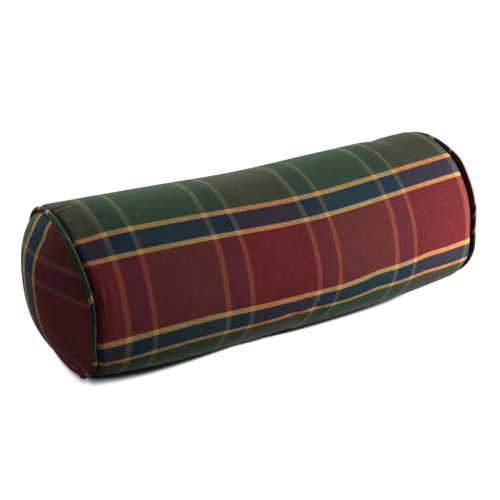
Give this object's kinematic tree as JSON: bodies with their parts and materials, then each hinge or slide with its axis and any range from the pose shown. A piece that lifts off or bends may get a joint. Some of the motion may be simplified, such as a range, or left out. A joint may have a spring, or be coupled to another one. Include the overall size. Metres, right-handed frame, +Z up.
{
  "type": "neck roll pillow",
  "caption": "Neck roll pillow: a filled roll of plaid cloth with domed round end panels and covered piping in both end seams, lying on its side.",
  "frame": {"origin": "middle of the roll's footprint, on the surface that it lies on", "axes": "+X along the roll, +Z up from the surface, -Y towards the front with the red band"},
  "size_m": [0.4064, 0.1582, 0.1436],
  "materials": {
    "plaid_roll": "woven cotton twill, burgundy, green and navy plaid with gold guard stripes, soft matt",
    "plaid_panel": "the same woven plaid, cut round",
    "plaid_piping": "the same woven plaid, cut on the bias over a cord"
  },
  "bodies": {
    "root": {"roll_body": "plaid_roll", "end_panel_left": "plaid_panel", "end_panel_right": "plaid_panel", "piping_left": "plaid_piping", "piping_right": "plaid_piping"}
  },
  "joints": []
}
